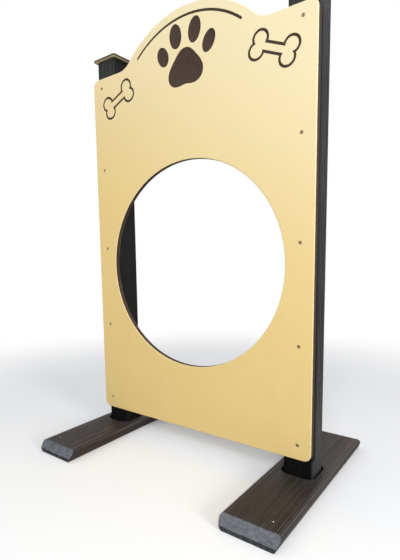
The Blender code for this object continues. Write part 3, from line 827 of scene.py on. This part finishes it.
# %% Bones
BONE_LENGTH = 0.150
BONE_KNOB = 0.023
KNOB_SPREAD = 0.017
BONE_BAR = 0.013
BONE_TILT = 24
LINE_WIDTH = 0.008
BONE_INSET = 0.128
BONE_DROP = 0.092


def bone_outline(bm, grow):
    """Draws a quarter of a bone's outline, larger by grow, and mirrors it twice."""
    knob = BONE_KNOB + grow
    knob_x = BONE_LENGTH / 2 - BONE_KNOB
    notch = asin(KNOB_SPREAD / knob)
    neck = asin((KNOB_SPREAD - BONE_BAR - grow) / knob)
    old = set(bm.verts[:] + bm.edges[:])
    pen = bm.verts.new((knob_x + knob * cos(notch), 0, 0))
    pen = sweep(bm, pen, (knob_x, KNOB_SPREAD), (notch + pi + neck) * 180 / pi, 22)
    straight(bm, pen, (0, BONE_BAR + grow))
    for axis in "XY":
        new = [piece for piece in bm.verts[:] + bm.edges[:] if piece not in old]
        bmesh.ops.mirror(bm, geom=new, merge_dist=WELD, axis=axis)


for side in (-1, 1):
    bone = bmesh.new()
    bone_outline(bone, LINE_WIDTH / 2 + GROWN)
    bone_outline(bone, -LINE_WIDTH / 2 - GROWN)
    bmesh.ops.bridge_loops(bone, edges=bone.edges[:])
    face_outwards(bone)
    if bone.faces[:][0].normal.z < 0:
        bmesh.ops.reverse_faces(bone, faces=bone.faces[:])
    engrave(bone)
    add_to(panel, bone, (side * (half - BONE_INSET), SHOULDER - BONE_DROP), -side * BONE_TILT)

# %% [markdown]
# The line along the dome is two arcs about the dome's own centre, joined by round ends.

# %% Line along the dome
LINE_INSET = 0.030
LINE_HALF_ANGLE = 40
middle = DOME_RADIUS - LINE_INSET
wide = LINE_WIDTH / 2 + GROWN
turn = radians(90 - LINE_HALF_ANGLE)
arc = bmesh.new()
pen = arc.verts.new(((middle + wide) * cos(turn), (middle + wide) * sin(turn), 0))
pen = sweep(arc, pen, (0, 0), 2 * LINE_HALF_ANGLE, 48)
pen = sweep(arc, pen, (-middle * cos(turn), middle * sin(turn)), 180, 12)
pen = sweep(arc, pen, (0, 0), -2 * LINE_HALF_ANGLE, 48)
pen = sweep(arc, pen, (middle * cos(turn), middle * sin(turn)), 180, 12)
filled(arc)
engrave(arc)
add_to(panel, arc, (0, DOME_CENTRE))

# %% [markdown]
# All features now end in open loops at the two faces, and one fill for each face closes the panel.

# %% Close the panel and stand it up
weld(panel)
close_flat(panel, 0, 1)
close_flat(panel, -SHEET, -1)
face_outwards(panel)
open_edges = sum(edge.is_boundary for edge in panel.edges)
print("panel:", len(panel.faces), "faces,", open_edges, "open edges")
panel.transform(Matrix.Translation((0, panel_low.y, panel_low.z)) @ UPRIGHT)
finished("hoop_panel", panel, "panel", "panel_plastic", panel_sheet)

# %% [markdown]
# ## Posts
#
# A post's section is the same on all four sides, so one side is drawn, with its shallow grooves, and copied
# in four quarter turns. The section is then raised to the post's height, and the screw holes are drilled.

# %% Section of a post
GROOVES = 7
GROOVE_WIDTH = 0.0045
GROOVE_DEPTH = 0.0011
CORNER_GROOVE_INSET = 0.008
CORNER_GROOVE_WIDTH = 0.0030
CORNER_GROOVE_DEPTH = 0.0020
POST_CORNER = 0.006
POST_RIM = 0.0005
half_post = POST_SIDE / 2


def dip(bm, vert, x, width, depth):
    """Draws one soft groove in the post's front line, which runs along X."""
    shares = [i / 6 for i in range(7)]
    places = [
        (x + width * (share - 0.5), depth * (0.5 - 0.5 * cos(2 * pi * share)) - half_post) for share in shares
    ]
    return straight(bm, vert, *places)


def post_section():
    bm = bmesh.new()
    flat = half_post - POST_CORNER
    first = half_post - CORNER_GROOVE_INSET
    pen = bm.verts.new((-flat, -half_post, 0))
    for i in range(GROOVES):
        at_corner = i in (0, GROOVES - 1)
        width = CORNER_GROOVE_WIDTH if at_corner else GROOVE_WIDTH
        depth = CORNER_GROOVE_DEPTH if at_corner else GROOVE_DEPTH
        pen = dip(bm, pen, first * (2 * i / (GROOVES - 1) - 1), width, depth)
    pen = straight(bm, pen, (flat, -half_post))
    sweep(bm, pen, (flat, -flat), 90, 8)
    quarter_of_it = bm.verts[:] + bm.edges[:]
    bmesh.ops.spin(
        bm, geom=quarter_of_it, cent=(0, 0, 0), axis=(0, 0, 1), angle=2 * pi, steps=4, use_duplicate=True
    )
    return bm


def bore(length, radius, top):
    """A drill: a closed cylinder from its top down, about the Z axis."""
    return lathe([(0, top), (radius, top), (radius, top - length), (0, top - length)], 24)

# %% Posts
CAP_SCREW_SPACING = 0.034
FOOT_SCREW_SPACING = 0.054
SCREW_LENGTH = 0.070
CAP_HOLE = (0.042, 0.0025)
FOOT_HOLE = (0.068, 0.0045)
FOOT_HOLE_TOP = 0.0655
PAST = 0.002
CAP_SCREW_PLACES = [(x, 0) for x in (-CAP_SCREW_SPACING / 2, CAP_SCREW_SPACING / 2)]
FOOT_SCREW_PLACES = [
    (x * FOOT_SCREW_SPACING / 2, y * FOOT_SCREW_SPACING / 2) for x in (-1, 1) for y in (-1, 1)
]
SIDES = (("left", -1), ("right", 1))

for word, side in SIDES:
    post = post_section()
    raised(post, filled(post), post_high.z - post_low.z)
    round_rims(post, POST_RIM, 2)
    post.transform(Matrix.Translation((side * POST_X, POST_Y, post_low.z)))
    thing = finished(f"{word}_grooved_post", post, f"{word}_post", "post_plastic", post_plastic)
    drills = bmesh.new()
    for z in screw_heights:
        drill = bore(SCREW_LENGTH - SHEET + 0.005, SCREW_SHANK / 2 + ROOM, 0.003)
        drill.transform(Matrix.Translation((side * screw_x, panel_high.y, panel_low.z + z)) @ UPRIGHT)
        add_to(drills, drill)
    for x, y in CAP_SCREW_PLACES:
        add_to(drills, bore(*CAP_HOLE, post_high.z + PAST), (side * POST_X + x, POST_Y + y))
    for x, y in FOOT_SCREW_PLACES:
        add_to(drills, bore(*FOOT_HOLE, post_low.z + FOOT_HOLE_TOP), (side * POST_X + x, POST_Y + y))
    cut_away(thing, drills)

# %% [markdown]
# ## Caps
#
# Each cap is a square of thinner two-colour sheet. Its corners are rounded as a bevel of the four vertices,
# its rims as a bevel of the edges, and two screws sink into its top.

# %% Caps
CAP_CORNER = 0.004
CAP_RIM = 0.001
CAP_HEAD = 0.0078
CAP_SHANK = 0.004
CAP_SUNK = 0.0004

for word, side in SIDES:
    cap = bmesh.new()
    bmesh.ops.create_grid(cap, x_segments=1, y_segments=1, size=(cap_high.x - cap_low.x) / 2)
    rounded(cap, cap.verts[:], CAP_CORNER, 6, "VERTICES")
    raised(cap, cap.faces[:][0], -cap_thick)
    round_rims(cap, CAP_RIM, 3)
    open_flat(cap, 0)
    open_flat(cap, -cap_thick)
    for place in CAP_SCREW_PLACES:
        turned(cap, countersink(CAP_HEAD, CAP_SHANK, CAP_SUNK, cap_thick), place, 32)
    weld(cap)
    close_flat(cap, 0, 1)
    close_flat(cap, -cap_thick, -1)
    face_outwards(cap)
    cap.transform(Matrix.Translation((side * POST_X, POST_Y, cap_high.z)))
    finished(f"{word}_cap_plate", cap, f"{word}_post_cap", "cap_plastic", cap_sheet)

# %% [markdown]
# ## Foot boards
#
# A board is an extrusion too: a section with fine ribs on top and round long edges. Its ends are sawn at a
# slope, so a plane cuts them off and the cut gets a sawn finish of its own. The pocket for the post and the
# holes underneath are milled, which is what a Boolean does best.

# %% Section of a foot board
BOARD_TOP_ROUND = 0.0115
BOARD_FOOT_ROUND = 0.008
SIDE_LEAN = 20
RIB_PITCH = 0.0048
RIB_GROOVE = 0.0026
RIB_DEPTH = 0.0018
EDGE_RIB = 0.0077
half_board = (board_high.x - board_low.x) / 2
level = half_board - BOARD_TOP_ROUND


def rib_groove(bm, vert, x):
    """Draws one groove between two ribs, from right to left, with a level floor and broken edges."""
    wide, floor = RIB_GROOVE / 2, RIB_GROOVE / 4
    places = [(wide, 0), (wide - 0.0002, -0.00025), (floor, -RIB_DEPTH)]
    places += [(-across, down) for across, down in reversed(places)]
    return straight(bm, vert, *[(x + across, BOARD_TOP + down) for across, down in places])


def board_section():
    bm = bmesh.new()
    outer = level - RIB_GROOVE / 2
    inner = outer - EDGE_RIB
    steps = round(2 * inner / RIB_PITCH)
    centres = [outer] + [inner * (1 - 2 * i / steps) for i in range(steps + 1)] + [-outer]
    wider = BOARD_TOP_ROUND - BOARD_FOOT_ROUND
    lean = radians(SIDE_LEAN)
    rise = BOARD_TOP - BOARD_TOP_ROUND - BOARD_FOOT_ROUND - wider * sin(lean)
    foot = level + wider * cos(lean) - rise * tan(lean)
    out, down = cos(lean), -sin(lean)
    pen = bm.verts.new((foot, 0, 0))
    shoulder = BOARD_TOP - BOARD_TOP_ROUND
    pen = sweep(bm, pen, (foot, BOARD_FOOT_ROUND), 90 - SIDE_LEAN, 8)
    pen = straight(bm, pen, (level + BOARD_TOP_ROUND * out, shoulder + BOARD_TOP_ROUND * down))
    pen = sweep(bm, pen, (level, shoulder), 90 + SIDE_LEAN, 12)
    for x in centres:
        pen = rib_groove(bm, pen, x)
    pen = straight(bm, pen, (-level, BOARD_TOP))
    pen = sweep(bm, pen, (-level, shoulder), 90 + SIDE_LEAN, 12)
    pen = straight(bm, pen, (-foot - BOARD_FOOT_ROUND * out, BOARD_FOOT_ROUND + BOARD_FOOT_ROUND * down))
    sweep(bm, pen, (-foot, BOARD_FOOT_ROUND), 90 - SIDE_LEAN, 8)
    return bm

# %% Sloped ends and the pocket
SLOPE_RUN = 0.0215
SLOPE_DROP = 0.027
POCKET_DEPTH = 0.020
POCKET_SIDE = 0.010
POCKET_FRONT = 0.014
POCKET_CORNER = 0.028
POCKET_FLARE = 0.0008


def saw_end(bm, end):
    """Saws one end off at a slope, and marks both of its faces as sawn."""
    place = Vector((0, end * (board_high.y - SLOPE_RUN), BOARD_TOP))
    outward = Vector((0, end * SLOPE_DROP, SLOPE_RUN)).normalized()
    everything = bm.verts[:] + bm.edges[:] + bm.faces[:]
    cut = bmesh.ops.bisect_plane(
        bm, geom=everything, plane_co=place, plane_no=outward, dist=WELD, clear_outer=True
    )
    bmesh.ops.contextual_create(bm, geom=only(BMEdge, cut["geom_cut"]))
    bm.normal_update()
    for face in bm.faces:
        if abs(face.normal.y) > 0.5 and face.calc_center_median().y * end > 0:
            face.material_index = 1


def pocket_cutter():
    """A rounded pocket whose mouth flares a little, so that its edge is broken."""
    bm = bmesh.new()
    wide = POST_SIDE + 2 * POCKET_SIDE
    deep = POST_SIDE + POCKET_SIDE + POCKET_FRONT
    bmesh.ops.create_grid(bm, x_segments=1, y_segments=1, size=0.5)
    bmesh.ops.scale(bm, verts=bm.verts, vec=(wide, deep, 1))
    rounded(bm, bm.verts[:], POCKET_CORNER, 10, "VERTICES")
    face = bm.faces[:][0]
    for grow, height in ((0, POCKET_DEPTH - POCKET_FLARE), (POCKET_FLARE * 3, POCKET_FLARE * 3)):
        below = face
        made = bmesh.ops.extrude_face_region(bm, geom=[face])["geom"]
        face = only(BMFace, made)[0]
        bmesh.ops.translate(bm, verts=face.verts[:], vec=(0, 0, height))
        bmesh.ops.scale(bm, verts=face.verts[:], vec=(1 + 2 * grow / wide, 1 + 2 * grow / deep, 1))
    bmesh.ops.delete(bm, geom=[below], context="FACES_ONLY")
    place = (0, POST_Y + (POCKET_SIDE - POCKET_FRONT) / 2, BOARD_TOP - POCKET_DEPTH)
    bm.transform(Matrix.Translation(place))
    return bm

# %% [markdown]
# A counterbore is one stepped hole: a narrow one for the screw, and a wide one that its head and washer
# disappear in. Its profile gives a small fillet at the wide hole's ceiling and a broken edge at its mouth.

# %% Foot boards
HOLE = FOOT_HOLE[1]
HOLE_TOP = 0.030
WELL = 0.013
WELL_TOP = 0.010
WELL_FILLET = 0.0005
MOUTH = 0.0006
COUNTERBORE = [(0, HOLE_TOP), (HOLE, HOLE_TOP), (HOLE, WELL_TOP), (WELL - WELL_FILLET, WELL_TOP)]
COUNTERBORE += [(WELL, WELL_TOP - WELL_FILLET), (WELL, MOUTH), (WELL + 2 * MOUTH, -MOUTH)]
COUNTERBORE += [(WELL + 2 * MOUTH, -PAST), (0, -PAST)]
BOARD_SCREW_HOLE = (0.034, 0.0020)

for word, side in SIDES:
    board = board_section()
    raised(board, filled(board), board_high.y - board_low.y)
    board.transform(Matrix.Translation((0, board_high.y, 0)) @ UPRIGHT)
    for end in (-1, 1):
        saw_end(board, end)
    face_outwards(board)
    board.transform(Matrix.Translation((side * POST_X, 0, 0)))
    thing = finished(
        f"{word}_ribbed_board", board, f"{word}_foot_board", "board_plastic", board_plastic, sawn_plastic
    )
    milled = bmesh.new()
    add_to(milled, pocket_cutter(), (side * POST_X, 0))
    cut_away(thing, milled)
    drilled = bmesh.new()
    for x, y in FOOT_SCREW_PLACES:
        add_to(drilled, lathe(COUNTERBORE, 32), (side * POST_X + x, POST_Y + y))
    low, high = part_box(f"{word}_board_screw")
    middle = (low + high) / 2
    add_to(drilled, bore(*BOARD_SCREW_HOLE, BOARD_TOP + PAST), (middle.x, middle.y))
    cut_away(thing, drilled)

# %% [markdown]
# ## Fasteners
#
# All the countersunk screws share one profile: a flat head with a six-lobed socket, a cone and a threaded
# shank. A real thread is a spiral. These rings look the same and stay light, and almost all of it is hidden.

# %% Countersunk screws
SOCKET_SHARE = 0.25
SOCKET_DEPTH_SHARE = 0.21
CORE_SHARE = 0.38
FINE_EDGE = 0.0001
PANEL_SCREW = (SCREW_LENGTH, SCREW_SHANK, SCREW_HEAD, 24)
CAP_SCREW = (0.045, CAP_SHANK, CAP_HEAD, 18)
BOARD_SCREW = (0.030, 0.003, 0.0058, 14)


def screw(length, shank, head, rings):
    """A countersunk screw, its head's top at height 0."""
    cone = (head - shank) / 2
    socket = head * SOCKET_SHARE
    deep = head * SOCKET_DEPTH_SHARE
    core = shank * CORE_SHARE
    profile = [(0, -deep), (socket * 0.9, -deep), (socket, -deep * 0.9), (socket, -FINE_EDGE)]
    profile += [(socket + FINE_EDGE, 0), (head / 2 - 2 * FINE_EDGE, 0), (head / 2, -FINE_EDGE)]
    profile += [(shank / 2, -cone), (shank / 2, -cone - 0.004)]
    start, end = -cone - 0.005, -length + shank
    step = (start - end) / rings
    for i in range(rings):
        profile += [(core, start - step * i), (shank / 2, start - step * (i + 0.5))]
    profile += [(core, end), (0, -length)]
    bm = lathe(profile, 36)
    for vert in bm.verts:
        if 0.8 * socket < vert.co.xy.length < socket * 1.01 and -1.1 * deep < vert.co.z < 0:
            lobes = 0.90 + 0.16 * cos(6 * atan2(vert.co.y, vert.co.x))
            vert.co.x *= lobes
            vert.co.y *= lobes
    face_outwards(bm)
    return bm


def placed_screw(name, size, place, slot, finish, facing=Matrix()):
    made = screw(*size)
    made.transform(Matrix.Translation(place) @ facing)
    finished(name + "_turned", made, name, slot, finish)


for word, side in SIDES:
    for number, z in enumerate(screw_heights, 1):
        name = f"{word}_panel_screw_{number}"
        place = (side * screw_x, panel_low.y + SCREW_SUNK, panel_low.z + z)
        placed_screw(name, PANEL_SCREW, place, "coated_steel", coated_steel, UPRIGHT)
    for number, (x, y) in enumerate(CAP_SCREW_PLACES, 1):
        name = f"{word}_cap_screw_{number}"
        place = (side * POST_X + x, POST_Y + y, cap_high.z - CAP_SUNK)
        placed_screw(name, CAP_SCREW, place, "stainless_steel", stainless)
    name = f"{word}_board_screw"
    low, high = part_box(name)
    place = ((low.x + high.x) / 2, (low.y + high.y) / 2, high.z)
    placed_screw(name, BOARD_SCREW, place, "stainless_steel", stainless)
print("countersunk screws made")

# %% [markdown]
# Hexagon-head screws and washers hold each post from below. A head starts as a circle of six points, so it
# is a hexagon at once. The shank and the washer are turned like the rest.

# %% Hexagon-head screws and washers
HEX_ACROSS = 0.013
HEX_HIGH = 0.0053
HEX_ROUND = 0.0004
FOOT_SHANK = 0.004
FOOT_CORE = 0.0033
FOOT_RINGS = 22
WASHER_BORE = 0.0045
WASHER_RADIUS = 0.012
WASHER_EDGE = 0.0002


def foot_screw(low, high):
    bm = bmesh.new()
    bmesh.ops.create_circle(bm, cap_ends=True, segments=6, radius=HEX_ACROSS / 2 / cos(pi / 6))
    raised(bm, bm.faces[:][0], HEX_HIGH)
    rounded(bm, bm.edges[:], HEX_ROUND, 2)
    total = high.z - low.z
    inside = HEX_HIGH - 0.001
    start, end = HEX_HIGH + 0.013, total - 0.008
    profile = [(0, inside), (FOOT_SHANK, inside), (FOOT_SHANK, start - 0.001)]
    step = (end - start) / FOOT_RINGS
    for i in range(FOOT_RINGS):
        profile += [(FOOT_CORE, start + step * i), (FOOT_SHANK, start + step * (i + 0.5))]
    add_to(bm, lathe(profile + [(FOOT_CORE, end), (0, total)], 24))
    stand(bm, low, high)
    return bm


def washer(low, high):
    tall = high.z - low.z
    inner, outer, edge = WASHER_BORE, WASHER_RADIUS, WASHER_EDGE
    ring = [(inner, edge), (inner + edge, 0), (outer - edge, 0), (outer, edge), (outer, tall - edge)]
    ring += [(outer - edge, tall), (inner + edge, tall), (inner, tall - edge), (inner, edge)]
    bm = lathe(ring, 48)
    stand(bm, low, high)
    return bm


for word, side in SIDES:
    for number in range(1, 5):
        name = f"{word}_foot_screw_{number}"
        finished(name + "_hexagon", foot_screw(*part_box(name)), name, "stainless_steel", stainless)
        name = f"{word}_foot_washer_{number}"
        finished(name + "_turned", washer(*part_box(name)), name, "stainless_steel", stainless)
print("foot screws and washers made")

# %% [markdown]
# ## Floor, light and camera
#
# The floor and the background are white, as in a shop picture, and the floor keeps the hoop's soft shadow.
# White surroundings would also light the hoop from below, so to light that has bounced the floor is grey.

# %% Floor and world
FLOOR_RADIUS = 9
FLOOR_SEEN = (0.93, 0.93, 0.93, 1)
FLOOR_BOUNCE = (0.42, 0.41, 0.40, 1)
SKY_LIGHT = (0.55, 0.56, 0.58, 1)
WHITE = (1, 1, 1, 1)
WHITE_FROM = 1.0
WHITE_BY = 2.6

ground = bmesh.new()
bmesh.ops.create_circle(ground, cap_ends=True, segments=96, radius=FLOOR_RADIUS)
floor = new_object("floor", as_mesh("floor", ground))
floor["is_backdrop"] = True
made, tree, shader, place = new_material("white_floor", Roughness=0.9, Specular_IOR_Level=0.0)
path = node(tree, "LightPath").outputs
seen_white = mixed(tree, path["Is Camera Ray"], FLOOR_BOUNCE, FLOOR_SEEN)
linked(tree, shader, Base_Color=seen_white)
away = node(tree, "VectorMath", {0: place["Object"]}, operation="LENGTH").outputs["Value"]
plain = node(tree, "Emission", {"Color": WHITE, "Strength": 1.0}).outputs[0]
fade = times(tree, ramp(tree, away, WHITE_FROM, WHITE_BY), path["Is Camera Ray"])
blend = node(tree, "MixShader", {0: fade, 1: shader.outputs[0], 2: plain}).outputs[0]
tree.links.new(blend, tree.nodes["Material Output"].inputs["Surface"])
floor.data.materials.append(made)

world = bpy.data.worlds.new("studio")
bpy.context.scene.world = world
world.use_nodes = True
tree = world.node_tree
path = node(tree, "LightPath").outputs
seen = largest(tree, path["Is Glossy Ray"], path["Is Transmission Ray"], path["Is Camera Ray"])
background = tree.nodes["Background"]
background.inputs["Strength"].default_value = 1.0
tree.links.new(mixed(tree, seen, SKY_LIGHT, WHITE), background.inputs["Color"])
print("floor and world made")

# %% [markdown]
# One soft lamp stands in for a low sun at the right, and a larger one, higher up at the front right, for an
# open sky. Their power is set so that a colour renders about as it is written.

# %% Lamps
def lamp(name, place, target, size, power, colour):
    """A round soft lamp at a place, which shines at its target."""
    data = bpy.data.lights.new(name, "AREA")
    data.shape = "DISK"
    data.size = size
    data.energy = power
    data.color = colour
    thing = new_object(name, data)
    thing.location = place
    thing.rotation_euler = (Vector(target) - Vector(place)).to_track_quat("-Z", "Y").to_euler()


lamp("low_sun", (4.4, -1.3, 1.4), (0.3, 0, 0.3), 1.6, 95, (1.0, 0.99, 0.97))
lamp("open_sky", (2.2, -4.0, 3.0), (0.1, 0, 0.8), 2.4, 165, (0.98, 0.99, 1.0))
print("two lamps placed")

# %% [markdown]
# The camera stands where the photographer stood, at the height of the opening and to the right of it. Its
# place, direction and lens were measured against the panel's edges, and its shift follows the crop.

# %% Camera
CAMERA_PLACE = (0.8731, -1.2246, 0.7133)
TURN, DIP, ROLL = 37.8527, 6.6507, -1.0498
FOCAL_PIXELS = 428.157
CENTRE_PIXELS = (179.822, 304.274)
WIDE, TALL = 400, 560
view = bpy.data.cameras.new("camera")
view.sensor_width = 36
view.lens = FOCAL_PIXELS * 36 / TALL
view.shift_x = (WIDE / 2 - CENTRE_PIXELS[0]) / TALL
view.shift_y = (CENTRE_PIXELS[1] - TALL / 2) / TALL
camera = new_object("camera", view)
turning = Matrix.Rotation(radians(TURN), 4, "Z") @ Matrix.Rotation(radians(90 - DIP), 4, "X")
camera.matrix_world = Matrix.Translation(CAMERA_PLACE) @ turning @ Matrix.Rotation(radians(ROLL), 4, "Z")
bpy.context.scene.camera = camera
bpy.context.scene.view_settings.view_transform = "Standard"
print("camera lens %.2f mm, shift %.4f, %.4f" % (view.lens, view.shift_x, view.shift_y))

# %% [markdown]
# Last, both boxes are printed, the solids' and the dressed model's.

# %% Sizes and finish
boxes = {name: [list(corner) for corner in box] for name, box in (("cad", cad_box), ("visual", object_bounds()))}
for name, box in boxes.items():
    print(name, [[round(value, 4) for value in corner] for corner in box])
